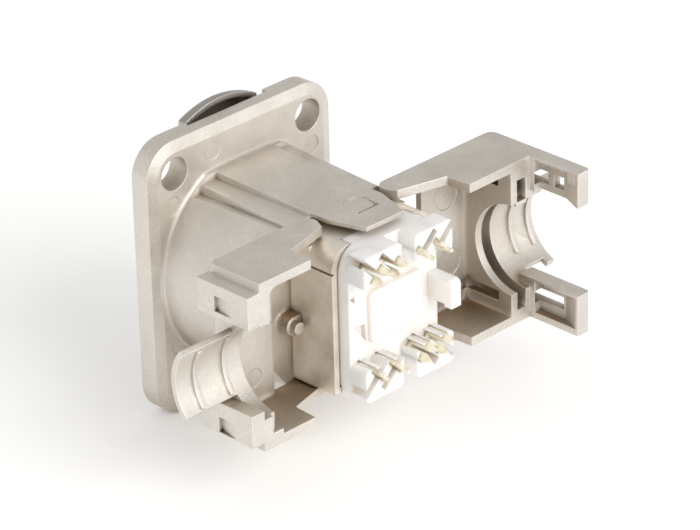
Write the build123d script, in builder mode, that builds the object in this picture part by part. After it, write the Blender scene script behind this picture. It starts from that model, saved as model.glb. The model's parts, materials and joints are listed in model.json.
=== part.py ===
from build123d import *
import os
from math import cos, radians, sin

# Panel socket for a network plug, as it is shipped: a flange that screws to the panel, a stepped
# round barrel behind it, and a tool-free termination whose two cover halves stand open.
# X is across, -Y is the plug side, +Y goes behind the panel and Z is up. The origin is the middle
# of the flange's rear face, which seats on the panel. Millimetres throughout.

# Flange
flange_w = 26.0
flange_h = 31.0
flange_t = 2.6
flange_corner_r = 3.75
rim_chamfer_depth = 0.4
rim_chamfer_width = 1.2
screw_pitch_x = 19.0
screw_pitch_z = 24.0
screw_hole_d = 3.6

# Barrel
barrel_d_front = 23.4
barrel_d_rear = 22.4
barrel_len = 14.0
barrel_root_fillet = 0.3
key_half_w = 4.15
key_drop = 0.26
ledge_drop = 0.44
ledge_half_w = 6.4
lower_ledge_drop = 0.95
ledge_start_y = 0.5
cavity_d = 19.6
cavity_depth = 6.6

# Tongue over the module, with its snap window, and the locating pin beside the module
tongue_len = 6.6
tongue_t = 0.5
tongue_gap = 0.71
tongue_root_half_w = 3.95
tongue_tip_half_w = 2.65
tongue_taper_start = 2.2
tongue_bow = 0.1
tongue_root_in = 1.0
snap_w = 3.0
snap_l = 1.5
snap_from_barrel = 2.2
snap_slot = 0.6
snap_shift = -0.6
snap_depth_start = 0.15
snap_depth_end = 0.4
snap_moon_r = 1.7
snap_moon_depth = 0.12
locator_x = 8.3
locator_z = -0.4
locator_d = 1.3
locator_len = 2.3
locator_collar_d = 2.0
locator_collar_len = 1.5

# Module frame
unit_z = 0.93
frame_w = 14.4
frame_h = 16.2
frame_reach = 6.0
frame_wall = 0.7
frame_top_r = 2.5
frame_front_wall = 0.9
frame_seam_z = 5.6
frame_seam_w = 0.25
frame_seam_depth = 0.3
frame_seam_len = 5.0
roof_notch_half_w = 4.6
roof_notch_l = 1.4
pin_boss = 2.2
pin_boss_w = 1.5
pin_boss_h = 1.3
pin_boss_skin = 0.3
fit_gap = 0.1
seat_gap = 0.04
weld = 0.1

# Jack housing, contacts and board
plug_w = 11.8
plug_h = 6.9
plug_z = 0.4
plug_depth = 9.0
clip_slot_w = 6.2
clip_slot_h = 1.5
clip_key_w = 3.4
clip_key_h = 1.2
contact_count = 8
contact_pitch = 1.02
contact_w = 0.5
contact_t = 0.3
contact_slot_w = 0.68
contact_leg_drop = 1.4
contact_bend_from_front = 2.5
contact_tip_from_front = 7.3
contact_dip = 3.4
contact_bend_r = 0.4
contact_slot_low = 1.0
board_t = 1.0

# Termination block and its forked blades
block_inset = 0.85
block_top_gap = 0.2
block_side_gap = 0.15
block_reach = 1.4
post_len = 2.25
post_depth_z = 3.6
post_undercut = 0.8
post_undercut_w = 2.4
post_split = 1.9
post_corner_r = 0.5
wire_channel_w = 0.8
wire_channel_l = 5.3
pad_w = 7.4
pad_h = 5.6
pad_rise = 0.5
hook_w = 1.4
hook_above_middle = 1.68
hook_len = 3.35
hook_h = 2.75
hook_lip = 0.3
hook_lip_t = 1.0
hook_tip_r = 0.6
block_mark = [(5.6, 0.4), (4.1, 0.3), (4.0, -1.75)]
block_arrow = [(6.2, 3.75), (5.5, 3.85), (5.5, 3.1)]
block_mark_depth = 0.5
blade_pitch = 2.5
blade_inner_x = 2.05
blade_row_inset = 2.52
blade_rows_lift = 0.2
blade_w = 2.1
blade_t = 0.4
blade_len = 3.55
blade_shoulder_in = 0.4
blade_tilt = 45.0
fork_w = 0.3
fork_depth = 3.2
fork_mouth_l = 0.7
prong_chamfer = 0.5
prong_chamfer_w = 0.35
blade_slot_gap = 0.12
tail_w = 0.6
tail_hole_d = 0.9
contact_hole_d = 0.76

# Covers
hinge_inset = 1.15
hinge_reach = 1.45
hinge_tip_r = 1.2
pin_d = 1.0
pin_clear = 0.03
pin_len = 2.9
pin_cover = 0.24
plate_t = 1.0
plate_gap = 0.21
cover_gap = 0.2
plate_jog_reach = 5.35
plate_setback = 3.0
plate_jog_lean = 0.2
plate_root_back = 0.6
plate_root_out = 1.5
tip_cheek_angle = 14.6
flank_t = 0.75
flank_start_gap = 0.25
cover_corner_r = 0.9
left_wall_reach = 12.41
left_wall_t = 1.9
left_lip_t = 1.25
left_lip_setback = 0.5
corner_step_w = 1.4
corner_step_h = 0.6
corner_haunch_r = 1.1
left_block_t = 1.64
left_block_h = 3.56
left_block_inset = 0.98
block_pocket_l = 2.4
block_pocket_h = 1.7
block_pocket_depth = 0.45
block_pocket_drop_top = 0.33
block_pocket_drop_low = 0.75
right_inner_reach = 12.35
right_inner_t = 0.9
right_outer_reach = 16.15
right_outer_t = 2.5
groove_top_gap = 1.15
groove_low_gap = 0.5
cross_rib_t = 0.45
cross_rib_l = 2.2
cross_rib_over = 0.07
vent_slot_h = 1.15
vent_top_gap = 0.85
vent_low_gap = 1.3
vent_top_l = 3.3
vent_low_l = 4.6
vent_from_edge = 1.8
vent_corner = 0.8

# Cable entry in the covers, and the catch arms of the right cover
cable_below_middle = 0.6
cradle_r = 5.2
cradle_t = 0.6
left_cradle_angles = (-43.0, 39.0)
right_cradle_angles = (-60.0, 80.0)
spur_angles = (-68.0, -50.0)
spur_l = 1.0
bridge_angles = (45.0, 80.0)
ray_reach = 3.0
left_cradle_len = 6.9
right_cradle_len = 3.9
cradle_rib_h = 0.3
cradle_rib_w = 0.5
cradle_rib_angles = (-41.0, 36.0)
left_rib_places = (0.4, 4.3)
right_rib_places = (0.1, 2.75)
arm_len = 6.7
arm_t = 1.9
arm_skin = 0.9
arm_root = 1.5
arm_top_h = 3.84
arm_bottom_h = 4.6
arm_corner_r = 0.5
recess_start = 0.7
recess_end = 4.2
recess_slope = 2.2
recess_top_skin = 0.3
recess_floor = 0.75
window_end = 3.9
window_h = 1.4
window_top_gap = 1.64
window_low_gap = 1.8
window_bar_from_edge = 1.75
window_bar_w = 0.8
arm_key_l = 1.5
arm_key_h = 1.1

# Latch
latch_w = 10.2
latch_pocket_gap = 0.5
latch_pocket_floor = 0.6
latch_pocket_top_z = 14.6
latch_pocket_low_z = 8.3
rim_notch_depth = 0.7
latch_pivot_y = -1.5
latch_pivot_z = 12.2
latch_pin_d = 0.7
latch_pin_seat = 0.8
latch_front_y = -4.9
latch_depth = 2.0
latch_wall = 0.55
latch_front_r = 1.6
latch_crown_z = 16.45
latch_shoulder_z = 15.15
latch_bottom_z = 10.6
catch_w = 4.4
catch_l = 1.7
catch_tip_z = 9.0
lug_w = 1.4
lug_r = 0.72
lug_from_front = 1.3
spring_wire_d = 0.25
spring_turns = 3
spring_spacing = 1.4
spring_leg_gap = 0.4

# Shallow marks that the ejector pins left in the castings
mark_r = 1.05
right_mark_r = 1.6
mark_depth = 0.06
flange_marks = [(4.2, 12.7), (9.9, 8.5), (9.9, -7.4), (-9.9, 8.5), (-9.9, -7.4)]
left_marks = [(13.6, 5.2), (13.6, -4.4)]
right_marks = [(-14.5, 5.7), (-14.9, -2.2)]

# Values worked out from the sizes above
cavity_r = cavity_d / 2
cavity_end_y = cavity_depth - flange_t
frame_front_y = cavity_end_y + fit_gap
frame_bottom_z = unit_z - frame_h / 2
frame_top_z = unit_z + frame_h / 2
inner_half_w = frame_w / 2 - frame_wall
inner_bottom_z = frame_bottom_z + frame_wall
inner_top_z = frame_top_z - frame_wall
inner_top_r = frame_top_r - frame_wall
key_rear_z = frame_top_z + tongue_gap + tongue_t
key_top_z = key_rear_z + key_drop
ledge_z = key_rear_z - ledge_drop
lower_ledge_z = ledge_z - lower_ledge_drop
hinge_x = frame_w / 2 - hinge_inset
hinge_y = barrel_len + hinge_reach
frame_rear_y = barrel_len + frame_reach
roof_notch_y = frame_rear_y - roof_notch_l
jack_front_y = frame_front_y + frame_front_wall + fit_gap
contact_bend_y = jack_front_y + contact_bend_from_front
contact_tip_y = jack_front_y + contact_tip_from_front
jack_rear_y = hinge_y - pin_boss / 2 - fit_gap
board_y = hinge_y + pin_boss / 2 + fit_gap
board_rear_y = board_y + board_t
block_front_y = board_rear_y + fit_gap
block_w = frame_w - 2 * block_inset
block_face_y = frame_rear_y + block_reach
post_tip_y = block_face_y + post_len
hook_tip_y = block_face_y + hook_len
hook_top_z = unit_z + hook_above_middle
blade_tip_y = block_face_y + blade_len
top_row_z = unit_z + blade_rows_lift + frame_h / 2 - blade_row_inset
low_row_z = unit_z + blade_rows_lift - frame_h / 2 + blade_row_inset
contact_leg_z = top_row_z - contact_leg_drop
contact_tip_z = contact_leg_z - contact_dip
cover_h = frame_h + 2 * (plate_t + plate_gap)
cover_bottom_z = unit_z - cover_h / 2
cover_top_z = unit_z + cover_h / 2
cover_rear_y = hinge_y - hinge_tip_r
cable_y = hinge_y + hinge_x
cable_z = unit_z - cable_below_middle
cover_free_y = cable_y - cover_gap / 2
plate_jog_x = hinge_x + plate_jog_reach
plate_root_x = hinge_x - plate_root_back
plate_root_y = hinge_y + plate_root_out
flank_start_x = frame_rear_y + flank_start_gap - hinge_y + hinge_x
left_wall_x = hinge_x + left_wall_reach
left_block_x = left_wall_x + left_block_t
right_inner_x = hinge_x + right_inner_reach
right_outer_x = hinge_x + right_outer_reach
block_bottom_z = cover_bottom_z + plate_t + block_top_gap
block_top_z = cover_top_z - plate_t - block_top_gap
latch_half = latch_w / 2 + latch_pocket_gap
snap_y = barrel_len + snap_from_barrel
node_names = []


def front_plane(y):
    """Sketch plane across the barrel at depth y: local x is X and local y is Z."""
    return Plane.XZ.offset(-y)


def side_plane(x):
    """Sketch plane along the barrel at x: local x is Y and local y is Z."""
    return Plane.YZ.offset(x)


def box_between(x_pair, y_pair, z_pair, mode=Mode.ADD):
    """Block between two values on each axis, in the sub-part that is being built."""
    spans = (x_pair, y_pair, z_pair)
    middle = [(low + high) / 2 for low, high in spans]
    sizes = [abs(high - low) for low, high in spans]
    with Locations(tuple(middle)):
        Box(*sizes, mode=mode)


def rounded_top(y, half_w, low_z, high_z, top_r):
    """Upright outline of the module at depth y: a rectangle with its two upper corners rounded."""
    with BuildSketch(front_plane(y)) as outline:
        with BuildLine():
            arc_z = high_z - top_r
            Polyline((-half_w, arc_z), (-half_w, low_z), (half_w, low_z), (half_w, arc_z))
            TangentArc((half_w, arc_z), (half_w - top_r, high_z), tangent=(0, 1))
            Line((half_w - top_r, high_z), (top_r - half_w, high_z))
            TangentArc((top_r - half_w, high_z), (-half_w, arc_z), tangent=(-1, 0))
        make_face()
    return outline.sketch


def plug_outline(y, grow):
    """Outline of the plug's way in at depth y, with the two steps for its clip."""
    clip_z = plug_z - plug_h / 2
    with BuildSketch(front_plane(y)) as outline:
        with Locations((0, plug_z)):
            Rectangle(plug_w + 2 * grow, plug_h + 2 * grow)
        with Locations((0, clip_z - clip_slot_h / 2)):
            Rectangle(clip_slot_w + 2 * grow, clip_slot_h + 2 * grow)
        with Locations((0, clip_z - clip_slot_h - clip_key_h / 2)):
            Rectangle(clip_key_w + 2 * grow, clip_key_h + 2 * grow)
    return outline.sketch


def hole_along_x(y, z, radius, x_low, x_high):
    """Round hole along X through the sub-part that is being built."""
    with BuildSketch(side_plane(x_low)) as profile:
        with Locations((y, z)):
            Circle(radius)
    extrude(profile.sketch, amount=x_high - x_low, mode=Mode.SUBTRACT)


def ejector_marks(y, into, places, radius):
    """Shallow round marks on a face that lies across Y; into is the side that the metal is on."""
    with BuildSketch(front_plane(y)) as marks:
        with Locations(*places):
            Circle(radius)
    extrude(marks.sketch, amount=-into * mark_depth, mode=Mode.SUBTRACT)


def finish(sub_part, name):
    """Label one finished piece and write it out."""
    sub_part.part.label = name
    export_step(sub_part.part, f"parts/{name}.step")
    node_names.append(name)


os.makedirs("parts", exist_ok=True)

# Flange and barrel, one casting
with BuildPart() as flange_housing:
    with BuildSketch(front_plane(-flange_t)):
        RectangleRounded(flange_w, flange_h, flange_corner_r)
    extrude(amount=-(flange_t - rim_chamfer_depth))
    with BuildSketch(front_plane(-rim_chamfer_depth)):
        RectangleRounded(flange_w, flange_h, flange_corner_r)
    with BuildSketch(front_plane(0)):
        RectangleRounded(flange_w - 2 * rim_chamfer_width, flange_h - 2 * rim_chamfer_width,
                         flange_corner_r - rim_chamfer_width)
    loft()
    with BuildSketch(Plane.XY):
        with BuildLine():
            root = (barrel_d_front / 2 + barrel_root_fillet, 0)
            root_end = (barrel_d_front / 2, barrel_root_fillet)
            Polyline((0, -rim_chamfer_depth), (root[0], -rim_chamfer_depth), root)
            RadiusArc(root, root_end, barrel_root_fillet)
            Polyline(root_end, (barrel_d_rear / 2, barrel_len), (0, barrel_len),
                     (0, -rim_chamfer_depth))
        make_face()
    revolve(axis=Axis.Y)
    # steps beside the flat key on top of the barrel
    past_rim = flange_h
    for side in (-1, 1):
        box_between((side * key_half_w, side * flange_w), (ledge_start_y, barrel_len),
                    (ledge_z, past_rim), mode=Mode.SUBTRACT)
        box_between((side * ledge_half_w, side * flange_w), (ledge_start_y, barrel_len),
                    (lower_ledge_z, past_rim), mode=Mode.SUBTRACT)
    # the key's top face falls a little towards the rear
    with BuildSketch(side_plane(0)):
        Polygon((0, key_top_z), (barrel_len, key_rear_z), (barrel_len, past_rim), (0, past_rim),
                align=None)
    extrude(amount=flange_w, both=True, mode=Mode.SUBTRACT)
    # tongue over the module, with a ramped snap pocket that opens into a slot
    with BuildSketch(Plane.XY.offset(key_rear_z - tongue_t)):
        with BuildLine():
            taper_y = barrel_len + tongue_taper_start
            tip_y = barrel_len + tongue_len
            tongue_left = (tongue_tip_half_w, tip_y - tongue_bow)
            tongue_right = (-tongue_tip_half_w, tip_y - tongue_bow)
            Polyline(tongue_right, (-tongue_root_half_w, taper_y),
                     (-tongue_root_half_w, barrel_len - tongue_root_in),
                     (tongue_root_half_w, barrel_len - tongue_root_in),
                     (tongue_root_half_w, taper_y), tongue_left)
            ThreePointArc(tongue_left, (0, tip_y), tongue_right)
        make_face()
    extrude(amount=tongue_t)
    with BuildSketch(side_plane(snap_shift - snap_w / 2)):
        Polygon((snap_y, key_rear_z), (snap_y, key_rear_z - snap_depth_start),
                (snap_y + snap_l, key_rear_z - snap_depth_end), (snap_y + snap_l, key_rear_z),
                align=None)
    extrude(amount=snap_w, mode=Mode.SUBTRACT)
    box_between((snap_shift - snap_w / 2 + fit_gap, snap_shift + snap_w / 2 - fit_gap),
                (snap_y + snap_l - snap_slot, snap_y + snap_l),
                (key_rear_z - tongue_t, key_rear_z), mode=Mode.SUBTRACT)
    # half-moon mark before the pocket
    with BuildSketch(Plane.XY.offset(key_rear_z - snap_moon_depth)):
        with Locations((snap_shift, snap_y)):
            Circle(snap_moon_r)
        with Locations((snap_shift, snap_y + snap_moon_r)):
            Rectangle(2 * snap_moon_r, 2 * snap_moon_r, mode=Mode.SUBTRACT)
    extrude(amount=snap_moon_depth, mode=Mode.SUBTRACT)
    # round plug cavity and the square seat of the module behind it
    with BuildSketch(front_plane(-flange_t)):
        Circle(cavity_r)
    extrude(amount=-cavity_depth, mode=Mode.SUBTRACT)
    seat_outline = rounded_top(cavity_end_y, frame_w / 2 + seat_gap, frame_bottom_z - seat_gap,
                               frame_top_z + seat_gap, frame_top_r)
    extrude(seat_outline, amount=-(barrel_len - cavity_end_y), mode=Mode.SUBTRACT)
    screw_places = [(x, z) for x in (-screw_pitch_x / 2, screw_pitch_x / 2)
                    for z in (-screw_pitch_z / 2, screw_pitch_z / 2)]
    with BuildSketch(front_plane(-flange_t)):
        with Locations(*screw_places):
            Circle(screw_hole_d / 2)
    extrude(amount=-flange_t, mode=Mode.SUBTRACT)
    # shallow pocket in the front for the latch, with a notch in the top rim and holes for its pin
    box_between((-latch_half, latch_half), (-flange_t, -latch_pocket_floor),
                (latch_pocket_low_z, latch_pocket_top_z), mode=Mode.SUBTRACT)
    box_between((-latch_half, latch_half), (-flange_t, rim_notch_depth - flange_t),
                (latch_pocket_top_z, past_rim), mode=Mode.SUBTRACT)
    hole_along_x(latch_pivot_y, latch_pivot_z, latch_pin_d / 2 + pin_clear,
                 -latch_half - latch_pin_seat, latch_half + latch_pin_seat)
    # locating pin, whose collar has one square corner
    with BuildSketch(front_plane(barrel_len)):
        with Locations((locator_x, locator_z)):
            Circle(locator_collar_d / 2)
        with Locations((locator_x - locator_collar_d / 4, locator_z + locator_collar_d / 4)):
            Rectangle(locator_collar_d / 2, locator_collar_d / 2)
    extrude(amount=-locator_collar_len)
    with BuildSketch(front_plane(barrel_len)):
        with Locations((locator_x, locator_z)):
            Circle(locator_d / 2)
    extrude(amount=-locator_len)
    ejector_marks(0, -1, flange_marks, mark_r)
finish(flange_housing, "flange_housing")

# Push latch: a hooded tab in front of the flange, two lugs on its pin and a catch below
with BuildPart() as latch_lever:
    half = latch_w / 2
    with BuildSketch(front_plane(latch_front_y)):
        with BuildLine():
            ThreePointArc((-half, latch_shoulder_z), (0, latch_crown_z), (half, latch_shoulder_z))
            Polyline((half, latch_shoulder_z), (half, latch_bottom_z), (-half, latch_bottom_z),
                     (-half, latch_shoulder_z))
        make_face()
    extrude(amount=-latch_depth)
    front_edges = latch_lever.faces().sort_by(Axis.Y)[0].edges().sort_by(Axis.Z)
    fillet(front_edges[1:], latch_front_r)
    offset(amount=-latch_wall, openings=latch_lever.faces().sort_by(Axis.Y)[-1])
    box_between((-catch_w / 2, catch_w / 2), (latch_front_y, latch_front_y + catch_l),
                (catch_tip_z, latch_bottom_z + latch_wall))
    for side in (-1, 1):
        lug_mid_x = side * (latch_w - lug_w) / 2
        box_between((lug_mid_x - lug_w / 2, lug_mid_x + lug_w / 2),
                    (latch_front_y + lug_from_front, latch_pivot_y),
                    (latch_pivot_z - lug_r, latch_pivot_z + lug_r))
        with Locations((lug_mid_x, latch_pivot_y, latch_pivot_z)):
            Cylinder(lug_r, lug_w, rotation=(0, 90, 0))
    hole_along_x(latch_pivot_y, latch_pivot_z, latch_pin_d / 2 + pin_clear, -latch_w, latch_w)
finish(latch_lever, "latch_lever")

with BuildPart() as latch_pin:
    with Locations((0, latch_pivot_y, latch_pivot_z)):
        Cylinder(latch_pin_d / 2, 2 * (latch_half + latch_pin_seat - pin_clear),
                 rotation=(0, 90, 0))
finish(latch_pin, "latch_pin")

# Return spring: a wire coil round the pin, with a leg on the tab and one on the pocket's floor
with BuildPart() as latch_spring:
    spring_r = latch_pin_d / 2 + spring_wire_d
    spring_pitch = spring_wire_d * spring_spacing
    spring_len = spring_turns * spring_pitch
    with BuildLine():
        coil = Helix(spring_pitch, spring_len, spring_r, direction=(1, 0, 0),
                     center=(-spring_len / 2, latch_pivot_y, latch_pivot_z))
    with BuildSketch(Plane(origin=coil @ 0, z_dir=coil % 0)):
        Circle(spring_wire_d / 2)
    sweep(path=coil, is_frenet=True)
    tab_leg = latch_pivot_y - latch_front_y - latch_wall - spring_leg_gap
    floor_leg = -latch_pocket_floor - latch_pivot_y - spring_leg_gap / 2
    for leg_start, leg_dir, leg_len in ((coil @ 1, coil % 1, tab_leg),
                                        (coil @ 0, (coil % 0) * -1, floor_leg)):
        with BuildSketch(Plane(origin=leg_start, z_dir=leg_dir)):
            Circle(spring_wire_d / 2)
        extrude(amount=leg_len)
finish(latch_spring, "latch_spring")

# Frame of the jack module: a thin metal box, open at the rear
with BuildPart() as module_frame:
    extrude(rounded_top(frame_front_y, frame_w / 2, frame_bottom_z, frame_top_z, frame_top_r),
            amount=-(frame_rear_y - frame_front_y))
    inner_front_y = frame_front_y + frame_front_wall
    extrude(rounded_top(inner_front_y, inner_half_w, inner_bottom_z, inner_top_z, inner_top_r),
            amount=-(frame_rear_y - inner_front_y), mode=Mode.SUBTRACT)
    # bosses for the hinge pins in the four corners
    for side in (-1, 1):
        for z_low, z_high in ((inner_top_z - pin_boss_h, inner_top_z),
                             (inner_bottom_z, inner_bottom_z + pin_boss_h)):
            box_between((side * (inner_half_w - pin_boss_w), side * (frame_w / 2 - pin_boss_skin)),
                        (hinge_y - pin_boss / 2, hinge_y + pin_boss / 2), (z_low, z_high))
        with Locations((side * hinge_x, hinge_y, unit_z)):
            Cylinder(pin_d / 2 + pin_clear, frame_h, mode=Mode.SUBTRACT)
    # way in for the plug, in the front wall
    extrude(plug_outline(frame_front_y, fit_gap), amount=-frame_front_wall, mode=Mode.SUBTRACT)
    # seam of the folded side walls
    for side in (-1, 1):
        box_between((side * (frame_w / 2 - frame_seam_depth), side * frame_w / 2),
                    (frame_rear_y - frame_seam_len, frame_rear_y),
                    (unit_z + frame_seam_z - frame_seam_w, unit_z + frame_seam_z),
                    mode=Mode.SUBTRACT)
    # notch in the rear of the roof, filled by the white block
    box_between((-roof_notch_half_w, roof_notch_half_w), (roof_notch_y, frame_rear_y),
                (inner_top_z, frame_top_z), mode=Mode.SUBTRACT)
finish(module_frame, "module_frame")

# Plastic jack housing with the plug cavity and a slot for each contact
contact_xs = [(n - (contact_count - 1) / 2) * contact_pitch for n in range(contact_count)]
with BuildPart() as jack_housing:
    extrude(rounded_top(jack_front_y, inner_half_w - fit_gap, inner_bottom_z + fit_gap,
                        inner_top_z - fit_gap, inner_top_r),
            amount=-(jack_rear_y - jack_front_y))
    extrude(plug_outline(jack_front_y, 0), amount=-(plug_depth - frame_front_wall),
            mode=Mode.SUBTRACT)
    slot_top_z = contact_leg_z + contact_t / 2 + fit_gap
    for x in contact_xs:
        box_between((x - contact_slot_w / 2, x + contact_slot_w / 2),
                    (contact_bend_y - contact_w, jack_rear_y),
                    (plug_z + plug_h / 2 - contact_slot_low, slot_top_z), mode=Mode.SUBTRACT)
finish(jack_housing, "jack_housing")

# Spring contacts of the jack: a straight leg from the board and an arm that dips into the cavity
for number, x in enumerate(contact_xs, start=1):
    with BuildPart() as jack_contact:
        with BuildSketch(side_plane(x - contact_w / 2)):
            with BuildLine():
                FilletPolyline((board_rear_y, contact_leg_z), (contact_bend_y, contact_leg_z),
                               (contact_tip_y, contact_tip_z), radius=contact_bend_r)
            trace(line_width=contact_t)
        extrude(amount=contact_w)
    finish(jack_contact, f"jack_contact_{number}")

# Blades of the termination: two rows of four, tilted so that neighbours mirror about the middle
blade_outer_x = blade_inner_x + blade_pitch
blade_places = []
for row, row_z in ((1, top_row_z), (-1, low_row_z)):
    for blade_x in (blade_outer_x, blade_inner_x, -blade_inner_x, -blade_outer_x):
        tilt = -row * blade_tilt if blade_x > 0 else row * blade_tilt
        blade_places.append((blade_x, row_z, tilt))

with BuildPart() as circuit_board:
    extrude(rounded_top(board_y, inner_half_w - fit_gap, inner_bottom_z + fit_gap,
                        inner_top_z - fit_gap, inner_top_r), amount=-board_t)
    with BuildSketch(front_plane(board_y)):
        with Locations(*[(x, contact_leg_z) for x in contact_xs]):
            Circle(contact_hole_d / 2)
        with Locations(*[(x, z) for x, z, tilt in blade_places]):
            Circle(tail_hole_d / 2)
    extrude(amount=-board_t, mode=Mode.SUBTRACT)
finish(circuit_board, "circuit_board")

# White block that carries the blades: base, slotted posts, raised pad and the side hook
with BuildPart() as termination_block:
    base_y = frame_rear_y + fit_gap
    extrude(rounded_top(block_front_y, inner_half_w - block_side_gap, inner_bottom_z + block_side_gap,
                        inner_top_z - block_side_gap, inner_top_r),
            amount=-(base_y - block_front_y))
    extrude(rounded_top(base_y, block_w / 2, block_bottom_z, block_top_z, frame_top_r - fit_gap),
            amount=-(block_face_y - base_y))
    # tab in the roof's notch
    box_between((fit_gap - roof_notch_half_w, roof_notch_half_w - fit_gap),
                (roof_notch_y + fit_gap, base_y + weld), (inner_top_z - block_side_gap - weld, frame_top_z))
    for z_low, z_high in ((block_bottom_z, block_bottom_z + post_depth_z),
                          (block_top_z - post_depth_z, block_top_z)):
        for side in (-1, 1):
            with BuildSketch(front_plane(block_face_y)):
                with Locations((side * (block_w + post_split) / 4, (z_low + z_high) / 2)):
                    RectangleRounded((block_w - post_split) / 2, z_high - z_low, post_corner_r)
            extrude(amount=-post_len)
    # the upper posts' undersides rise towards the middle
    under_z = block_top_z - post_depth_z
    for side in (-1, 1):
        with BuildSketch(front_plane(block_face_y)):
            Polygon((side * block_w / 2, under_z),
                    (side * (block_w / 2 - post_undercut_w), under_z + post_undercut),
                    (0, under_z + post_undercut), (0, under_z), align=None)
        extrude(amount=-post_len, mode=Mode.SUBTRACT)
    with BuildSketch(front_plane(block_face_y)):
        with Locations((0, unit_z)):
            RectangleRounded(pad_w, pad_h, post_corner_r)
    extrude(amount=-pad_rise)
    for x, z, tilt in blade_places:
        with BuildSketch(front_plane(block_front_y)):
            with Locations(Location((x, z), tilt)):
                Rectangle(blade_w + 2 * blade_slot_gap, blade_t + 2 * blade_slot_gap)
        extrude(amount=-(post_tip_y - block_front_y), mode=Mode.SUBTRACT)
        with BuildSketch(front_plane(block_face_y)):
            with Locations(Location((x, z), tilt)):
                Rectangle(wire_channel_w, wire_channel_l)
        extrude(amount=-post_len, mode=Mode.SUBTRACT)
    # direction mark and a small arrow, sunk in the left edge
    for mark in (block_mark, block_arrow):
        with BuildSketch(front_plane(block_face_y)):
            Polygon(*mark, align=None)
        extrude(amount=block_mark_depth, mode=Mode.SUBTRACT)
    # hook on the right edge, with a lip that hangs at its rounded tip
    with BuildSketch(side_plane(-block_w / 2)) as hook:
        hook_low_z = hook_top_z - hook_h
        lip_z = hook_low_z - hook_lip
        with BuildLine():
            Polyline((block_face_y, hook_top_z), (block_face_y, hook_low_z),
                     (hook_tip_y - hook_lip_t, hook_low_z), (hook_tip_y - hook_lip_t, lip_z),
                     (hook_tip_y, lip_z), (hook_tip_y, hook_top_z - hook_tip_r))
            TangentArc((hook_tip_y, hook_top_z - hook_tip_r), (hook_tip_y - hook_tip_r, hook_top_z),
                       tangent=(0, 1))
            Line((hook_tip_y - hook_tip_r, hook_top_z), (block_face_y, hook_top_z))
        make_face()
    extrude(hook.sketch, amount=hook_w)
finish(termination_block, "termination_block")

for number, (x, z, tilt) in enumerate(blade_places, start=1):
    a = radians(tilt)
    blade_face = Plane(origin=(x, 0, z), x_dir=(cos(a), 0, sin(a)), z_dir=(-sin(a), 0, cos(a)))
    with BuildPart() as wire_contact:
        with BuildSketch(blade_face):
            with BuildLine():
                outer = blade_w / 2
                inner = fork_w / 2
                shoulder_y = block_front_y + blade_shoulder_in
                fork_y = blade_tip_y - fork_depth
                mouth_y = blade_tip_y - fork_mouth_l
                Polyline((-tail_w / 2, board_y), (tail_w / 2, board_y), (tail_w / 2, shoulder_y),
                         (outer, shoulder_y), (outer, blade_tip_y - prong_chamfer),
                         (outer - prong_chamfer_w, blade_tip_y), (outer - prong_chamfer, blade_tip_y),
                         (inner, mouth_y), (inner, fork_y), (-inner, fork_y), (-inner, mouth_y),
                         (prong_chamfer - outer, blade_tip_y), (prong_chamfer_w - outer, blade_tip_y),
                         (-outer, blade_tip_y - prong_chamfer), (-outer, shoulder_y),
                         (-tail_w / 2, shoulder_y), close=True)
            make_face()
        extrude(amount=blade_t / 2, both=True)
    finish(wire_contact, f"wire_contact_{number}")


def cover_shell(side, outer_x):
    """Plates, hinge tips and flank of one cover half, as it stands open on that side."""
    cheek = radians(tip_cheek_angle)
    outline = [(hinge_x, cover_rear_y), (outer_x, cover_rear_y), (outer_x, cover_free_y),
               (plate_jog_x, cover_free_y), (plate_jog_x - plate_jog_lean, cover_free_y - plate_setback),
               (plate_root_x, plate_root_y),
               (hinge_x - hinge_tip_r * cos(cheek), hinge_y + hinge_tip_r * sin(cheek)),
               (hinge_x, hinge_y)]
    for low_z in (cover_bottom_z, cover_top_z - plate_t):
        with BuildSketch(Plane.XY.offset(low_z)) as profile:
            Polygon(*[(side * x, y) for x, y in outline], align=None)
            with Locations((side * hinge_x, hinge_y)):
                Circle(hinge_tip_r)
        extrude(profile.sketch, amount=plate_t)
    box_between((side * flank_start_x, side * outer_x), (cover_rear_y, cover_rear_y + flank_t),
                (cover_bottom_z, cover_top_z))
    # blind seats for the hinge pins
    seat = plate_t - pin_cover + pin_clear
    for low_z in (cover_bottom_z + plate_t - seat, cover_top_z - plate_t):
        with BuildSketch(Plane.XY.offset(low_z)) as profile:
            with Locations((side * hinge_x, hinge_y)):
                Circle(pin_d / 2 + pin_clear)
        extrude(profile.sketch, amount=seat, mode=Mode.SUBTRACT)


def round_corners(sub_part, x, y, radius):
    """Round the upright edges of a cover that stand at one x and y."""
    upright = sub_part.edges().filter_by(Axis.Z)
    here = [e for e in upright if abs(e.center().X - x) < weld and abs(e.center().Y - y) < weld]
    fillet(here, radius)


def cover_wall(side, outer_x, thickness):
    """Wall across the cable's way, with its half of the round cable hole."""
    low_x = min(side * outer_x, side * (outer_x - thickness))
    with BuildSketch(side_plane(low_x)) as profile:
        with Locations(((cover_rear_y + cover_free_y) / 2, unit_z)):
            Rectangle(cover_free_y - cover_rear_y, cover_h)
        with Locations((cable_y, cable_z)):
            Circle(cradle_r, mode=Mode.SUBTRACT)
    extrude(profile.sketch, amount=thickness)


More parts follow.
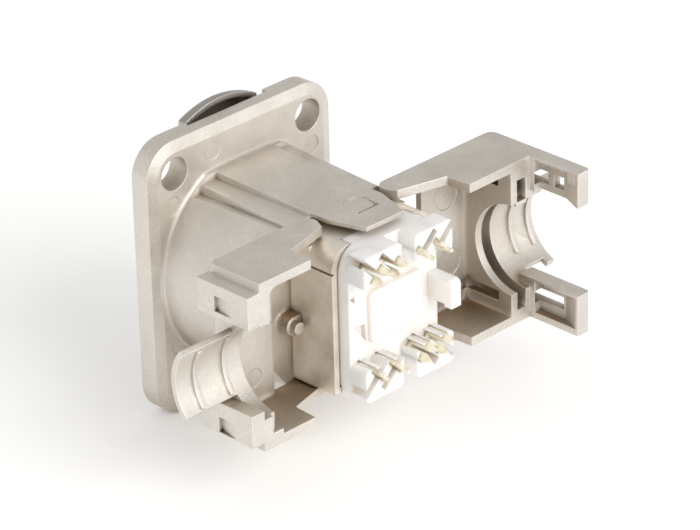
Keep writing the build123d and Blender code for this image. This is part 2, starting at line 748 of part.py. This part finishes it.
def cradle_band(side, start_x, length, inner_r, outer_r, angles):
    """Part of a tube round the cable's line, between two angles below and above the horizontal."""
    low_x = min(side * start_x, side * (start_x + length))
    far = ray_reach * outer_r
    rays = [radians(a) for a in (angles[0], (angles[0] + angles[1]) / 2, angles[1])]
    with BuildSketch(side_plane(low_x)) as profile:
        with Locations((cable_y, cable_z)):
            Circle(outer_r)
            Circle(inner_r, mode=Mode.SUBTRACT)
        Polygon((cable_y, cable_z), *[(cable_y - far * cos(a), cable_z + far * sin(a)) for a in rays],
                align=None, mode=Mode.INTERSECT)
    extrude(profile.sketch, amount=length)


def cable_cradle(side, start_x, length, angles, rib_places):
    """Half cradle for the cable with its gripping ribs."""
    cradle_band(side, start_x, length, cradle_r, cradle_r + cradle_t, angles)
    for place in rib_places:
        cradle_band(side, start_x + place, cradle_rib_w, cradle_r - cradle_rib_h, cradle_r + weld,
                    cradle_rib_angles)


with BuildPart() as left_cover:
    cover_shell(1, left_wall_x)
    cover_wall(1, left_wall_x, left_wall_t)
    # the wall's lip is thinner, between a rounded haunch under the top plate and a step on the lower one
    lip_x = left_wall_x - left_lip_t
    box_between((left_wall_x - left_wall_t, lip_x), (cover_free_y - left_lip_setback, cover_free_y),
                (cover_bottom_z + plate_t, cover_top_z - plate_t), mode=Mode.SUBTRACT)
    box_between((lip_x - corner_step_w, lip_x), (cover_rear_y + flank_t, cover_free_y),
                (cover_bottom_z + plate_t, cover_bottom_z + plate_t + corner_step_h))
    with BuildSketch(front_plane(cover_rear_y + flank_t)):
        haunch_z = cover_top_z - plate_t
        with Locations((lip_x - corner_haunch_r / 2, haunch_z - corner_haunch_r / 2)):
            Rectangle(corner_haunch_r, corner_haunch_r)
        with Locations((lip_x - corner_haunch_r, haunch_z - corner_haunch_r)):
            Circle(corner_haunch_r, mode=Mode.SUBTRACT)
    extrude(amount=-(cover_free_y - cover_rear_y - flank_t))
    cable_cradle(1, left_wall_x, left_cradle_len, left_cradle_angles, left_rib_places)
    round_corners(left_cover, left_wall_x, cover_rear_y, cover_corner_r)
    # two catch blocks outside the wall, each with a ramped pocket
    for top_z, drop in ((cover_top_z - left_block_inset, block_pocket_drop_top),
                        (cover_bottom_z + left_block_inset + left_block_h, block_pocket_drop_low)):
        low_z = top_z - left_block_h
        box_between((left_wall_x - weld, left_block_x), (cover_rear_y, cover_free_y), (low_z, top_z))
        pocket_mid_z = (low_z + top_z) / 2 - drop
        pocket_y = (cover_rear_y + cover_free_y) / 2 - block_pocket_l / 2
        with BuildSketch(Plane.XY.offset(pocket_mid_z - block_pocket_h / 2)):
            Polygon((left_block_x, pocket_y), (left_block_x, pocket_y + block_pocket_l),
                    (left_block_x - block_pocket_depth, pocket_y), align=None)
        extrude(amount=block_pocket_h, mode=Mode.SUBTRACT)
    ejector_marks(cover_rear_y + flank_t, -1, left_marks, mark_r)
finish(left_cover, "left_cover")

with BuildPart() as right_cover:
    cover_shell(-1, right_outer_x)
    cover_wall(-1, right_inner_x, right_inner_t)
    cover_wall(-1, right_outer_x, right_outer_t)
    cable_cradle(-1, right_outer_x, right_cradle_len, right_cradle_angles, right_rib_places)
    cradle_band(-1, right_outer_x + right_cradle_len - spur_l, spur_l, cradle_r, cradle_r + cradle_t,
                spur_angles)
    # the groove between the two walls is bridged at the top and filled near the plates
    groove_l = right_outer_x - right_outer_t - right_inner_x + 2 * weld
    cradle_band(-1, right_inner_x - weld, groove_l, cradle_r, cradle_r + cradle_t, bridge_angles)
    groove_x = (weld - right_inner_x, weld - right_inner_x - groove_l)
    rib_top_z = cable_z + cradle_r + cross_rib_over
    for z_low, z_high in ((cover_bottom_z, cover_bottom_z + plate_t + groove_low_gap),
                          (rib_top_z - cross_rib_t, rib_top_z),
                          (cover_top_z - plate_t - groove_top_gap, cover_top_z)):
        box_between(groove_x, (cover_free_y - cross_rib_l, cover_free_y), (z_low, z_high))
    # two catch arms that reach over the left cover, each with a recess inside and a window
    arm_low_z = cover_top_z - arm_top_h
    arm_x = (-right_outer_x, arm_t - right_outer_x)
    for z_low, height, root in ((arm_low_z, arm_top_h, weld), (cover_bottom_z, arm_bottom_h, arm_root)):
        box_between(arm_x, (cover_free_y - root, cover_free_y + arm_len), (z_low, z_low + height))
    inner_x = arm_t - right_outer_x
    skin_x = arm_skin - right_outer_x
    start_y = cover_free_y + recess_start
    end_y = cover_free_y + recess_end
    for z_low, z_high in ((arm_low_z, cover_top_z - recess_top_skin),
                          (cover_bottom_z + recess_floor, cover_bottom_z + arm_bottom_h - recess_top_skin)):
        with BuildSketch(Plane.XY.offset(z_low)) as recess:
            Polygon((inner_x, start_y), (skin_x, start_y), (skin_x, end_y),
                    (inner_x, end_y + recess_slope), align=None)
        extrude(recess.sketch, amount=z_high - z_low, mode=Mode.SUBTRACT)
    for z_low in (cover_top_z - window_top_gap - window_h, cover_bottom_z + window_low_gap):
        with BuildSketch(Plane.XY.offset(z_low)) as window:
            Polygon((inner_x, start_y), (-right_outer_x, start_y - arm_t),
                    (-right_outer_x, cover_free_y + window_end), (inner_x, cover_free_y + window_end),
                    align=None)
        extrude(window.sketch, amount=window_h, mode=Mode.SUBTRACT)
    # the upper arm has a bar in its window and a square key inside its tip
    bar_y = cover_free_y + window_bar_from_edge
    window_top_z = cover_top_z - window_top_gap
    box_between((-right_outer_x, skin_x), (bar_y, bar_y + window_bar_w),
                (window_top_z - window_h - weld, window_top_z + weld))
    arm_tip_y = cover_free_y + arm_len
    box_between(arm_x, (arm_tip_y - arm_key_l, arm_tip_y - arm_corner_r),
                (cover_top_z - recess_top_skin - arm_key_h, cover_top_z - recess_top_skin + weld))
    round_corners(right_cover, -right_outer_x, cover_rear_y, cover_corner_r)
    round_corners(right_cover, -right_outer_x, arm_tip_y, arm_corner_r)
    # slots in the inner wall beside the plates; the lower one wraps round the corner of the flank
    slot_x = (-right_inner_x, right_inner_t - right_inner_x)
    slot_end_y = cover_free_y - vent_from_edge
    for slot_z, slot_l in ((cover_top_z - plate_t - vent_top_gap - vent_slot_h, vent_top_l),
                           (cover_bottom_z + plate_t + vent_low_gap, vent_low_l)):
        box_between(slot_x, (slot_end_y - slot_l, slot_end_y), (slot_z, slot_z + vent_slot_h),
                    mode=Mode.SUBTRACT)
    box_between((slot_x[1] - weld, slot_x[1] + vent_corner),
                (cover_rear_y + flank_t / 2, cover_rear_y + flank_t),
                (slot_z, slot_z + vent_slot_h), mode=Mode.SUBTRACT)
    ejector_marks(cover_rear_y + flank_t, -1, right_marks, right_mark_r)
finish(right_cover, "right_cover")

# Hinge pins of the covers, held in the frame's bosses
for side, side_name in ((1, "left"), (-1, "right")):
    for top_z, end_name in ((cover_top_z - pin_cover, "top"),
                            (cover_bottom_z + pin_cover + pin_len, "bottom")):
        with BuildPart() as hinge_pin:
            with BuildSketch(Plane.XY.offset(top_z - pin_len)):
                with Locations((side * hinge_x, hinge_y)):
                    Circle(pin_d / 2)
            extrude(amount=pin_len)
        finish(hinge_pin, f"hinge_pin_{side_name}_{end_name}")

print(len(node_names), "pieces written")
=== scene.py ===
import json
from math import cos, radians, sin

import bpy
from mathutils import Matrix, Vector


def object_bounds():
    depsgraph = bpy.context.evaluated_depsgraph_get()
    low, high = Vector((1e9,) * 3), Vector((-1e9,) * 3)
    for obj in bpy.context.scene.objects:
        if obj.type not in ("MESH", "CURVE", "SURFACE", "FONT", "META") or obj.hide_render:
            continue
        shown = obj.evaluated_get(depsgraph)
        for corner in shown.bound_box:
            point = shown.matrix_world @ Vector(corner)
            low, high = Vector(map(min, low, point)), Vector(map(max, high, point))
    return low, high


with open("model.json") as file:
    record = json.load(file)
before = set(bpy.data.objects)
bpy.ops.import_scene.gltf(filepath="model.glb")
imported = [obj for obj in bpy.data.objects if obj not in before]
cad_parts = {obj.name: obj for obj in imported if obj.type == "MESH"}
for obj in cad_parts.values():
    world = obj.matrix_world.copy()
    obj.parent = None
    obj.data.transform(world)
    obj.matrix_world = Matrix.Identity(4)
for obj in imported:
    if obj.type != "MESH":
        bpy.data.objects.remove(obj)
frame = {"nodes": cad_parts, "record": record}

cad_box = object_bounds()
MM = 0.001

# Camera: its direction in degrees, its distance, and how far the part's origin stands from the
# view's middle
VIEW_AZIMUTH = 135.294
VIEW_ELEVATION = 27.0
VIEW_ROLL = -1.506
VIEW_DISTANCE = 430.08 * MM
ORIGIN_RIGHT = -10.833 * MM
ORIGIN_UP = 1.731 * MM
CLIP_START = 10.0 * MM
LENS_MM = 212.65
SENSOR_MM = 36.0

# Floor, in metres, and the pale surrounding
FLOOR_SIZE = 6.0
FLOOR_DROP = 0.05 * MM
FLOOR_COLOUR = (0.96, 0.96, 0.96, 1)
FLOOR_ROUGHNESS = 0.9
FLOOR_GLOW = 0.22
WORLD_COLOUR = (1.0, 0.99, 0.97, 1)
WORLD_STRENGTH = 0.60

# Soft distant lights: direction and apparent width in degrees, and strength
LIGHTS = {
    "key": {"azimuth": 174, "elevation": 34, "spread": 34, "strength": 0.95},
    "side": {"azimuth": 100, "elevation": 30, "spread": 40, "strength": 0.05},
    "back": {"azimuth": 190, "elevation": 22, "spread": 50, "strength": 0.85},
    "front": {"azimuth": 45, "elevation": 25, "spread": 40, "strength": 0.12},
}

# A span is the stretch of a value over which an effect goes from its first state to its last. A noise
# has the size of its cells, its detail and a stretch along x, y and z. A rough pair is the least and
# greatest roughness of a surface.
NOISE_ROUGHNESS = 0.55
BEVEL_SAMPLES = 6
OPENNESS_SAMPLES = 8

# Painted shade: metal deep inside a hollow is painted darker and warmer: how near other surfaces
# count, the span of openness over which the painted shade ends, and its tints for the castings and
# the frame
HOLLOW_SHADE_REACH = 16.0 * MM
HOLLOW_SHADE_SPAN = (0.28, 0.68)
CAST_PAINTED_HOLLOW_SHADE = (0.36, 0.26, 0.16)
FRAME_PAINTED_HOLLOW_SHADE = (0.95, 0.88, 0.78)

# Faces that look up take the whole painted shade of a hollow, upright faces and undersides a share of
# it
HOLLOW_SHADE_FACING_SPAN = (0.0, 0.8)
HOLLOW_SHADE_UPRIGHT_SHARE = 0.42

# Painted shade in narrow seams too, over a much shorter reach
SEAM_SHADE_REACH = 0.9 * MM
SEAM_SHADE_SPAN = (0.18, 0.44)
PAINTED_SEAM_SHADE = (0.42, 0.36, 0.29)

# Soft fillets in the inner corners of the castings: full at the span's start, none past its end
FILLET_RADIUS = 1.5 * MM
FILLET_SPAN = (0.55, 0.95)

# Satin nickel of the castings: clouds of tone, orange peel, fine dark pits and painted glints
CAST_METALLIC = 0.90
CAST_CLOUDS = {"size": 4.0 * MM, "detail": 3}
CAST_CLOUD_SPAN = (0.35, 0.70)
CAST_PEEL = {"size": 0.26 * MM, "detail": 3}
CAST_PEEL_SPAN = (0.36, 0.62)
CAST_PEEL_SHADE = 0.93
CAST_SPECKLE = {"size": 0.12 * MM, "detail": 2}
CAST_PIT_SPAN = (0.28, 0.42)
CAST_PIT_SHADE = 0.80
CAST_GLINT_SPAN = (0.60, 0.74)
CAST_GLINT_SHARE = 0.40
CAST_ROUGH_SPAN = (0.35, 0.65)
CAST_PEEL_BUMP = {"strength": 0.40, "depth": 0.05 * MM}
CAST_SPECKLE_BUMP = {"strength": 0.25, "depth": 0.03 * MM}

# Their edges carry a painted highlight that is partly wear: rounding, the span of one minus the
# cosine between the rounded and the true normal, and how the speckle breaks up the worn highlight
CAST_EDGE_RADIUS = 0.16 * MM
CAST_EDGE_HIGHLIGHT_SPAN = (0.02, 0.12)
CAST_HIGHLIGHT_COLOUR = (1.0, 0.97, 0.92)
CAST_WORN_HIGHLIGHT_SPAN = (0.35, 0.60)
CAST_WORN_HIGHLIGHT_LEAST = 0.45
CAST_FINISHES = {
    "die_cast_nickel": {"light": (0.82, 0.775, 0.715), "dark": (0.735, 0.69, 0.63),
                        "rough": (0.42, 0.56), "grain": 1.0},
    "latch_metal": {"light": (0.52, 0.49, 0.46), "dark": (0.44, 0.41, 0.38),
                    "rough": (0.34, 0.46), "grain": 0.7},
}

# Folded sheet of the module's frame
FRAME_METALLIC = 0.8
FRAME_CLOUDS = {"size": 2.6 * MM, "detail": 6, "roughness": 0.65}
FRAME_CLOUD_SPAN = (0.32, 0.64)
FRAME_DARK = (0.76, 0.69, 0.59)
FRAME_LIGHT = (0.92, 0.87, 0.80)
FRAME_LINES = {"size": 0.25 * MM, "detail": 3, "stretch": (1, 1, 0.12)}
FRAME_ROUGH_SPAN = (0.35, 0.65)
FRAME_ROUGH = (0.42, 0.56)
FRAME_EDGE_RADIUS = 0.12 * MM
FRAME_EDGE_SPAN = (0.02, 0.20)
FRAME_EDGE_COLOUR = (0.80, 0.76, 0.70)
FRAME_BUMP = {"strength": 0.12, "depth": 0.03 * MM}

# Steel of the pins and the spring
STEEL_METALLIC = 1.0
STEEL_LINES = {"size": 0.12 * MM, "detail": 2, "stretch": (3, 3, 0.4)}
STEEL_TONE_SPAN = (0.35, 0.65)
STEEL_ROUGH_SPAN = (0.30, 0.70)
STEEL_EDGE_RADIUS = 0.06 * MM
STEEL_BUMP = {"strength": 0.10, "depth": 0.02 * MM}
STEEL_FINISHES = {
    "steel_pin": {"light": (0.80, 0.78, 0.75), "dark": (0.62, 0.60, 0.57), "rough": (0.22, 0.34)},
    "spring_steel": {"light": (0.60, 0.60, 0.60), "dark": (0.42, 0.42, 0.42), "rough": (0.25, 0.40)},
}

# Plastics: mould grain, soft edges, and painted shade that turns corners a little darker and warmer
PLASTIC_BODY = {"Metallic": 0.0, "IOR": 1.5, "Subsurface Radius": (0.8, 0.7, 0.6),
                "Subsurface Scale": 1.6 * MM}
PLASTIC_CLOUDS = {"size": 3.0 * MM, "detail": 2}
PLASTIC_TONE_SPAN = (0.30, 0.70)
PLASTIC_GRAIN = {"size": 0.12 * MM, "detail": 2}
PLASTIC_ROUGH_SPAN = (0.35, 0.65)
PLASTIC_EDGE_RADIUS = 0.18 * MM
PLASTIC_BUMP = {"strength": 0.08, "depth": 0.02 * MM}
PLASTIC_SHADE_REACH = 1.6 * MM
PLASTIC_CORNER_SHADE_SPAN = (0.35, 0.95)
PLASTIC_PAINTED_CORNER_SHADE = (0.93, 0.89, 0.85)
PLASTIC_FINISHES = {
    "white_plastic": {"light": (0.92, 0.905, 0.885), "dark": (0.90, 0.88, 0.86),
                      "rough": (0.34, 0.46), "glow": 0.6},
    "black_plastic": {"light": (0.020, 0.020, 0.022), "dark": (0.012, 0.012, 0.013),
                      "rough": (0.38, 0.50), "glow": 0.0},
}

# Gold plate of the contacts
GOLD_METALLIC = 0.9
GOLD_CLOUDS = {"size": 0.8 * MM, "detail": 3}
GOLD_CLOUD_SPAN = (0.30, 0.70)
GOLD_DARK = (0.90, 0.83, 0.64)
GOLD_LIGHT = (0.96, 0.92, 0.79)
GOLD_ROUGH = (0.32, 0.46)
GOLD_EDGE_RADIUS = 0.08 * MM
GOLD_EDGE_HIGHLIGHT_SPAN = (0.02, 0.20)
GOLD_EDGE_HIGHLIGHT_COLOUR = (0.97, 0.92, 0.78)
GOLD_BUMP = {"strength": 0.10, "depth": 0.02 * MM}

# Green circuit board under a clear coat
BOARD_BODY = {"Metallic": 0.0, "Coat Weight": 0.4, "Coat Roughness": 0.15}
BOARD_WEAVE = {"size": 0.3 * MM, "detail": 1, "stretch": (1, 1, 4)}
BOARD_CLOUDS = {"size": 2.5 * MM, "detail": 2}
BOARD_TONE_SPAN = (0.35, 0.65)
BOARD_DARK = (0.01, 0.09, 0.04)
BOARD_LIGHT = (0.03, 0.17, 0.07)
BOARD_ROUGH_SPAN = (0.30, 0.70)
BOARD_ROUGH = (0.35, 0.50)
BOARD_BUMP = {"strength": 0.10, "depth": 0.02 * MM}

# Numbers of the mix node's sockets for each kind of value: factor, first, second and result
MIX_SOCKETS = {"RGBA": (0, 6, 7, 2), "VECTOR": (0, 4, 5, 1)}


def direction(azimuth, elevation):
    """Unit vector from the part towards a place seen at that azimuth and elevation."""
    turn = radians(azimuth)
    rise = radians(elevation)
    return Vector((sin(turn) * cos(rise), -cos(turn) * cos(rise), sin(rise)))


def view_axes(azimuth, elevation, roll):
    """Right, up and back directions of a camera that looks at the part, turned by its roll."""
    back = direction(azimuth, elevation)
    right = Vector((cos(radians(azimuth)), sin(radians(azimuth)), 0))
    up = back.cross(right)
    tilt = radians(roll)
    return right * cos(tilt) + up * sin(tilt), up * cos(tilt) - right * sin(tilt), back


def add_object(name, data):
    """New object in the scene."""
    thing = bpy.data.objects.new(name, data)
    bpy.context.scene.collection.objects.link(thing)
    return thing


def add_camera():
    """Camera at the angle of the reference view."""
    right, up, back = view_axes(VIEW_AZIMUTH, VIEW_ELEVATION, VIEW_ROLL)
    place = back * VIEW_DISTANCE - right * ORIGIN_RIGHT - up * ORIGIN_UP
    data = bpy.data.cameras.new("camera")
    data.sensor_width = SENSOR_MM
    data.lens = LENS_MM
    data.clip_start = CLIP_START
    camera = add_object("camera", data)
    camera.matrix_world = Matrix((
        (right.x, up.x, back.x, place.x),
        (right.y, up.y, back.y, place.y),
        (right.z, up.z, back.z, place.z),
        (0, 0, 0, 1)))
    bpy.context.scene.camera = camera


def add_lights():
    """Soft distant lights, each aimed at the part, in a pale surrounding."""
    for name, spec in LIGHTS.items():
        data = bpy.data.lights.new(name, "SUN")
        data.energy = spec["strength"]
        data.angle = radians(spec["spread"])
        light = add_object(name, data)
        away = direction(spec["azimuth"], spec["elevation"])
        light.rotation_euler = away.to_track_quat("Z", "Y").to_euler()
    world = bpy.data.worlds.new("studio")
    world.use_nodes = True
    background = world.node_tree.nodes["Background"]
    background.inputs["Color"].default_value = WORLD_COLOUR
    background.inputs["Strength"].default_value = WORLD_STRENGTH
    bpy.context.scene.world = world


def add_floor():
    """Pale floor under the lowest point of the part, with a faint glow that keeps it near white."""
    low_z = cad_box[0][2] - FLOOR_DROP
    half = FLOOR_SIZE / 2
    corners = [(-half, -half, low_z), (half, -half, low_z), (half, half, low_z), (-half, half, low_z)]
    mesh = bpy.data.meshes.new("floor")
    mesh.from_pydata(corners, [], [(0, 1, 2, 3)])
    floor = add_object("floor", mesh)
    material = bpy.data.materials.new("floor_paper")
    material.use_nodes = True
    shader = material.node_tree.nodes["Principled BSDF"]
    shader.inputs["Base Color"].default_value = FLOOR_COLOUR
    shader.inputs["Roughness"].default_value = FLOOR_ROUGHNESS
    shader.inputs["Emission Color"].default_value = FLOOR_COLOUR
    shader.inputs["Emission Strength"].default_value = FLOOR_GLOW
    mesh.materials.append(material)


class Surface:
    """A material under construction: its node tree, its shader and short calls to add nodes."""

    def __init__(self, name, settings):
        self.material = bpy.data.materials.new(name)
        self.material.use_nodes = True
        self.tree = self.material.node_tree
        self.shader = self.tree.nodes["Principled BSDF"]
        for socket, value in settings.items():
            self.shader.inputs[socket].default_value = value
        self.place = self.add("ShaderNodeTexCoord").outputs["Object"]

    def add(self, kind, **settings):
        """New node with the given settings."""
        node = self.tree.nodes.new(kind)
        for key, value in settings.items():
            setattr(node, key, value)
        return node

    def feed(self, socket, value):
        """Give a socket another node's output, a colour or a number."""
        if isinstance(value, bpy.types.NodeSocket):
            self.tree.links.new(value, socket)
        elif isinstance(value, tuple):
            socket.default_value = (*value, 1)
        else:
            socket.default_value = value

    def noise(self, size, detail, roughness=NOISE_ROUGHNESS, stretch=(1, 1, 1)):
        """Noise whose cells are about size metres across."""
        mapping = self.add("ShaderNodeMapping")
        mapping.inputs["Scale"].default_value = stretch
        self.feed(mapping.inputs["Vector"], self.place)
        node = self.add("ShaderNodeTexNoise")
        self.feed(node.inputs["Scale"], 1 / size)
        self.feed(node.inputs["Detail"], detail)
        self.feed(node.inputs["Roughness"], roughness)
        self.feed(node.inputs["Vector"], mapping.outputs["Vector"])
        return node.outputs["Fac"]

    def fade(self, value, span, first, last):
        """Colour or grey that goes from first to last while the value crosses the span."""
        node = self.add("ShaderNodeValToRGB")
        elements = tuple(node.color_ramp.elements)
        for element, position, colour in zip(elements, span, (first, last)):
            element.position = position
            element.color = (*colour, 1) if isinstance(colour, tuple) else (colour, colour, colour, 1)
        self.feed(node.inputs["Fac"], value)
        return node.outputs["Color"]

    def mix(self, factor, first, second, blend="MIX", kind="RGBA"):
        """Mix of two colours or two vectors by a factor."""
        node = self.add("ShaderNodeMix", data_type=kind, blend_type=blend)
        *inputs, result = MIX_SOCKETS[kind]
        for socket, value in zip(inputs, (factor, first, second)):
            self.feed(node.inputs[socket], value)
        return node.outputs[result]

    def average(self, first, second):
        """Even mix of two patterns."""
        return self.mix(0.5, first, second)

    def tinted(self, colour, tint):
        """Colour times a tint."""
        return self.mix(1.0, colour, tint, blend="MULTIPLY")

    def calculate(self, operation, first, second):
        """Result of an operation on two numbers."""
        node = self.add("ShaderNodeMath", operation=operation)
        for socket, value in zip(node.inputs, (first, second)):
            self.feed(socket, value)
        return node.outputs["Value"]

    def true_normal(self):
        """Normal of the surface as it is."""
        return self.add("ShaderNodeNewGeometry").outputs["Normal"]

    def rounded(self, radius):
        """Normal of edges rounded by radius metres."""
        node = self.add("ShaderNodeBevel", samples=BEVEL_SAMPLES)
        self.feed(node.inputs["Radius"], radius)
        return node.outputs["Normal"]

    def openness(self, reach):
        """How open a place is: 1 in the open, 0 where surfaces within reach metres shut it in."""
        node = self.add("ShaderNodeAmbientOcclusion", samples=OPENNESS_SAMPLES)
        self.feed(node.inputs["Distance"], reach)
        return node.outputs["AO"]

    def filleted(self, normal, radius):
        """Normal that turns into a soft fillet of the given radius in inner corners."""
        corner = self.fade(self.openness(radius), FILLET_SPAN, 1.0, 0.0)
        mixed = self.mix(corner, normal, self.rounded(radius), kind="VECTOR")
        unit = self.add("ShaderNodeVectorMath", operation="NORMALIZE")
        self.feed(unit.inputs[0], mixed)
        return unit.outputs["Vector"]

    def edge_mask(self, normal, span):
        """White along edges, black on faces: how far the rounded normal leaves the true one."""
        alike = self.add("ShaderNodeVectorMath", operation="DOT_PRODUCT")
        self.feed(alike.inputs[0], normal)
        self.feed(alike.inputs[1], self.true_normal())
        return self.fade(self.calculate("SUBTRACT", 1.0, alike.outputs["Value"]), span, 0.0, 1.0)

    def with_painted_seam_shade(self, colour):
        """Colour with painted shade in narrow seams."""
        return self.tinted(colour, self.fade(self.openness(SEAM_SHADE_REACH), SEAM_SHADE_SPAN, PAINTED_SEAM_SHADE, 1.0))

    def with_painted_hollow_shade(self, colour, tint):
        """Colour with painted shade, the tint, where the surfaces around close a place in."""
        painted_shade = self.fade(self.openness(HOLLOW_SHADE_REACH), HOLLOW_SHADE_SPAN, tint, 1.0)
        facing = self.add("ShaderNodeSeparateXYZ")
        self.feed(facing.inputs[0], self.true_normal())
        amount = self.fade(facing.outputs["Z"], HOLLOW_SHADE_FACING_SPAN, HOLLOW_SHADE_UPRIGHT_SHARE, 1.0)
        return self.mix(amount, colour, self.tinted(colour, painted_shade))

    def bump(self, height, strength, depth, normal=None):
        """Normal with a pattern's relief, depth metres high, on top of another normal."""
        node = self.add("ShaderNodeBump")
        self.feed(node.inputs["Strength"], strength)
        self.feed(node.inputs["Distance"], depth)
        self.feed(node.inputs["Height"], height)
        if normal is not None:
            self.feed(node.inputs["Normal"], normal)
        return node.outputs["Normal"]

    def finished(self, colour, roughness, normal):
        """The material, with these three on its shader."""
        self.feed(self.shader.inputs["Base Color"], colour)
        self.feed(self.shader.inputs["Roughness"], roughness)
        self.feed(self.shader.inputs["Normal"], normal)
        return self.material


def cast_nickel(name, light, dark, rough, grain):
    """Satin nickel plate over a casting: orange-peel grain, faint clouds, painted glints, painted
    shade in hollows and seams, and a painted highlight, partly wear, on its edges.
    """
    surface = Surface(name, {"Metallic": CAST_METALLIC})
    clouds = surface.noise(**CAST_CLOUDS)
    speckle = surface.noise(**CAST_SPECKLE)
    peel = surface.noise(**CAST_PEEL)
    rounded = surface.rounded(CAST_EDGE_RADIUS)
    edges = surface.edge_mask(rounded, CAST_EDGE_HIGHLIGHT_SPAN)
    base = surface.mix(surface.fade(clouds, CAST_CLOUD_SPAN, 0.0, 1.0), dark, light)
    base = surface.tinted(base, surface.fade(peel, CAST_PEEL_SPAN, CAST_PEEL_SHADE, 1.0))
    base = surface.tinted(base, surface.fade(speckle, CAST_PIT_SPAN, CAST_PIT_SHADE, 1.0))
    # painted glints: speckle peaks take the highlight colour
    painted_glint = surface.fade(speckle, CAST_GLINT_SPAN, 0.0, CAST_GLINT_SHARE)
    base = surface.mix(painted_glint, base, CAST_HIGHLIGHT_COLOUR)
    # painted highlight along the edges, partly wear, broken up by the speckle
    worn_highlight = surface.fade(speckle, CAST_WORN_HIGHLIGHT_SPAN, CAST_WORN_HIGHLIGHT_LEAST, 1.0)
    colour = surface.mix(surface.calculate("MULTIPLY", edges, worn_highlight), base, CAST_HIGHLIGHT_COLOUR)
    # painted shade: darker and warmer in hollows, darker in narrow seams
    colour = surface.with_painted_seam_shade(surface.with_painted_hollow_shade(colour, CAST_PAINTED_HOLLOW_SHADE))
    roughness = surface.fade(surface.average(clouds, peel), CAST_ROUGH_SPAN, *rough)
    normal = surface.filleted(rounded, FILLET_RADIUS)
    for pattern, relief in ((peel, CAST_PEEL_BUMP), (speckle, CAST_SPECKLE_BUMP)):
        normal = surface.bump(pattern, relief["strength"] * grain, relief["depth"], normal)
    return surface.finished(colour, roughness, normal)


def sheet_nickel(name):
    """Smoother nickel of the module's folded frame, with faint upright drawing lines."""
    surface = Surface(name, {"Metallic": FRAME_METALLIC})
    clouds = surface.noise(**FRAME_CLOUDS)
    lines = surface.noise(**FRAME_LINES)
    rounded = surface.rounded(FRAME_EDGE_RADIUS)
    edges = surface.edge_mask(rounded, FRAME_EDGE_SPAN)
    base = surface.fade(clouds, FRAME_CLOUD_SPAN, FRAME_DARK, FRAME_LIGHT)
    colour = surface.mix(edges, base, FRAME_EDGE_COLOUR)
    # painted shade: warmer in hollows, darker in narrow seams
    colour = surface.with_painted_seam_shade(surface.with_painted_hollow_shade(colour, FRAME_PAINTED_HOLLOW_SHADE))
    roughness = surface.fade(surface.average(clouds, lines), FRAME_ROUGH_SPAN, *FRAME_ROUGH)
    return surface.finished(colour, roughness, surface.bump(lines, normal=rounded, **FRAME_BUMP))


def bright_steel(name, light, dark, rough):
    """Drawn steel with fine upright lines and softly rounded edges."""
    surface = Surface(name, {"Metallic": STEEL_METALLIC})
    lines = surface.noise(**STEEL_LINES)
    rounded = surface.rounded(STEEL_EDGE_RADIUS)
    colour = surface.fade(lines, STEEL_TONE_SPAN, dark, light)
    roughness = surface.fade(lines, STEEL_ROUGH_SPAN, *rough)
    return surface.finished(colour, roughness, surface.bump(lines, normal=rounded, **STEEL_BUMP))


def moulded_plastic(name, light, dark, rough, glow):
    """Moulded plastic with a faint mould grain, soft edges, painted shade in its corners and, by its
    glow, light under its skin.
    """
    surface = Surface(name, {**PLASTIC_BODY, "Subsurface Weight": glow})
    clouds = surface.noise(**PLASTIC_CLOUDS)
    grain = surface.noise(**PLASTIC_GRAIN)
    rounded = surface.rounded(PLASTIC_EDGE_RADIUS)
    # painted shade: corners a little darker and warmer
    painted_shade = surface.fade(surface.openness(PLASTIC_SHADE_REACH), PLASTIC_CORNER_SHADE_SPAN, PLASTIC_PAINTED_CORNER_SHADE, 1.0)
    colour = surface.tinted(surface.fade(clouds, PLASTIC_TONE_SPAN, dark, light), painted_shade)
    roughness = surface.fade(surface.average(clouds, grain), PLASTIC_ROUGH_SPAN, *rough)
    return surface.finished(colour, roughness, surface.bump(grain, normal=rounded, **PLASTIC_BUMP))


def gold_plate(name):
    """Thin gold over nickel, with clouds of tone and a painted edge highlight about as light as its
    lightest one.
    """
    surface = Surface(name, {"Metallic": GOLD_METALLIC})
    clouds = surface.noise(**GOLD_CLOUDS)
    rounded = surface.rounded(GOLD_EDGE_RADIUS)
    edges = surface.edge_mask(rounded, GOLD_EDGE_HIGHLIGHT_SPAN)
    base = surface.fade(clouds, GOLD_CLOUD_SPAN, GOLD_DARK, GOLD_LIGHT)
    # painted highlight along the edges
    colour = surface.mix(edges, base, GOLD_EDGE_HIGHLIGHT_COLOUR)
    roughness = surface.fade(clouds, GOLD_CLOUD_SPAN, *GOLD_ROUGH)
    return surface.finished(colour, roughness, surface.bump(clouds, normal=rounded, **GOLD_BUMP))


def coated_board(name):
    """Green solder mask under a clear coat, with faint flat streaks of the woven glass."""
    surface = Surface(name, BOARD_BODY)
    weave = surface.noise(**BOARD_WEAVE)
    clouds = surface.noise(**BOARD_CLOUDS)
    colour = surface.fade(surface.average(weave, clouds), BOARD_TONE_SPAN, BOARD_DARK, BOARD_LIGHT)
    roughness = surface.fade(weave, BOARD_ROUGH_SPAN, *BOARD_ROUGH)
    return surface.finished(colour, roughness, surface.bump(weave, **BOARD_BUMP))


def make_materials():
    """The materials by the name of their slot."""
    materials = {name: make(name) for name, make in (
        ("frame_nickel", sheet_nickel), ("contact_gold", gold_plate), ("board_green", coated_board))}
    for make, finishes in ((cast_nickel, CAST_FINISHES), (bright_steel, STEEL_FINISHES),
                           (moulded_plastic, PLASTIC_FINISHES)):
        for name, finish in finishes.items():
            materials[name] = make(name, **finish)
    return materials


def dress_nodes():
    """Give every carried-over node the material of its slot in the record."""
    materials = make_materials()
    for entry in frame["record"]["subparts"]:
        mesh = frame["nodes"][entry["node"]].data
        mesh.materials.clear()
        mesh.materials.append(materials[entry["material_slot"]])


add_camera()
add_lights()
add_floor()
dress_nodes()
bpy.context.scene.view_settings.view_transform = "Standard"
